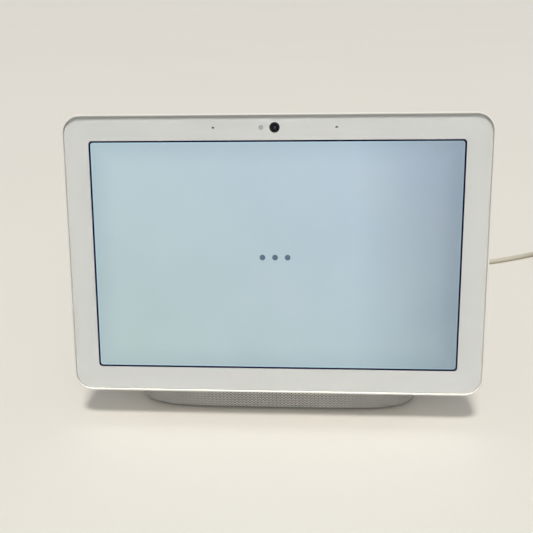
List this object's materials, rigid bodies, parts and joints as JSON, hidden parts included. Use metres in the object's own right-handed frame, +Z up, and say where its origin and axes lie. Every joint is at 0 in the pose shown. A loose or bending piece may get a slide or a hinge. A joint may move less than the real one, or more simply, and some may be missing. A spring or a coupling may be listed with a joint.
{
  "type": "smart display",
  "caption": "Smart display: a thin screen leaning back on a fabric-covered speaker base, with a privacy switch, a volume rocker and a coiled power cord with its adapter.",
  "frame": {"origin": "on the table under the middle of the display and its base, cord left out", "axes": "+X to the viewer's right along the screen, +Y away from the viewer, +Z up; the screen faces -Y and leans back 15 degrees"},
  "size_m": [0.4405, 0.2649, 0.1824],
  "materials": {
    "front_glass": "clear, polished",
    "bezel_ink": "pale warm grey ink behind glass",
    "adhesive": "foam tape",
    "dark_line": "dark foam",
    "screen": "lit screen",
    "clear_acrylic": "polished acrylic",
    "led_strip": "phosphor lamps on a white strip",
    "tray_steel": "bright steel",
    "frame_alloy": "die cast",
    "housing": "fine matte moulded",
    "black_plastic": "moulded",
    "lens_glass": "coated lens",
    "circuit_board": "solder mask",
    "black_rubber": "soft",
    "graphite": "graphite film",
    "copper": "bright copper",
    "flex_film": "polyimide film",
    "screw_steel": "dark plated",
    "knit": "grey melange knit",
    "foot_rubber": "matte",
    "basket_steel": "black paint",
    "ferrite": "ground ferrite",
    "cone_paper": "pressed paper",
    "spider_cloth": "resin dipped cloth",
    "dome_silk": "coated silk",
    "wire_jacket": "wire insulation",
    "plug_plastic": "fine matte moulded",
    "cord_jacket": "soft satin jacket",
    "tie_rubber": "soft strap",
    "nickel": "nickel plate"
  },
  "bodies": {
    "chassis": {"cover_glass": "front_glass", "bezel_print": "bezel_ink", "glass_adhesive": "adhesive", "screen_gasket": "dark_line", "lcd_panel": "screen", "light_guide": "clear_acrylic", "led_bar": "led_strip", "backlight_tray": "tray_steel", "mid_frame": "frame_alloy", "rear_cover": "housing", "camera_barrel": "black_plastic", "camera_lens": "lens_glass", "camera_board": "circuit_board", "sensor_board": "circuit_board", "light_pipe": "clear_acrylic", "microphone_boards": "circuit_board", "microphone_boots": "black_rubber", "main_board": "circuit_board", "shield_cans": "tray_steel", "heat_spreader": "graphite", "wifi_antennas": "copper", "privacy_switch_body": "black_plastic", "volume_pivot_pin": "tray_steel", "volume_board": "circuit_board", "display_flex": "flex_film", "camera_flex": "flex_film", "head_screws": "screw_steel", "neck_bracket": "frame_alloy", "neck_clamp_plate": "tray_steel", "fabric_sleeve": "knit", "speaker_enclosure": "black_plastic", "enclosure_gasket": "black_rubber", "base_plate": "black_plastic", "base_screws": "screw_steel", "rubber_foot": "foot_rubber", "woofer_baffle": "black_plastic", "woofer_basket": "basket_steel", "woofer_magnet": "ferrite", "woofer_top_plate": "tray_steel", "woofer_yoke": "tray_steel", "woofer_surround": "black_rubber", "woofer_spider": "spider_cloth", "left_tweeter": "black_plastic", "right_tweeter": "black_plastic", "power_board": "circuit_board", "dc_jack": "black_plastic", "base_harness": "wire_jacket", "dc_plug": "plug_plastic", "power_cord": "cord_jacket", "cord_coil": "cord_jacket", "cord_tie": "tie_rubber", "adapter_lead": "cord_jacket", "power_adapter": "plug_plastic", "adapter_prongs": "nickel"},
    "woofer_diaphragm": {"voice_coil": "copper", "woofer_cone": "cone_paper"},
    "privacy_slider": {"privacy_switch_knob": "housing"},
    "volume_key": {"volume_rocker": "housing"},
    "left_dome": {"left_tweeter_dome": "dome_silk"},
    "right_dome": {"right_tweeter_dome": "dome_silk"}
  },
  "joints": [
    {"name": "privacy_slide", "type": "slide", "parent": "chassis", "child": "privacy_slider", "axis": [1, 0, 0], "range_m": [0, 0.003]},
    {"name": "volume_rock", "type": "hinge", "parent": "chassis", "child": "volume_key", "pos_m": [0.104, -0.00866, 0.13123], "axis": [1, 0, 0], "range_deg": [-3, 3], "stiffness_Nm_per_rad": 0.3},
    {"name": "woofer_travel", "type": "slide", "parent": "chassis", "child": "woofer_diaphragm", "axis": [0, 0.9153, 0.4027], "range_m": [-0.002, 0.002], "stiffness_N_per_m": 1500, "deforming": ["woofer_surround", "woofer_spider"]},
    {"name": "left_dome_travel", "type": "slide", "parent": "chassis", "child": "left_dome", "axis": [-1, 0, 0], "range_m": [-0.00025, 0.00025], "stiffness_N_per_m": 2000},
    {"name": "right_dome_travel", "type": "slide", "parent": "chassis", "child": "right_dome", "axis": [1, 0, 0], "range_m": [-0.00025, 0.00025], "stiffness_N_per_m": 2000}
  ]
}
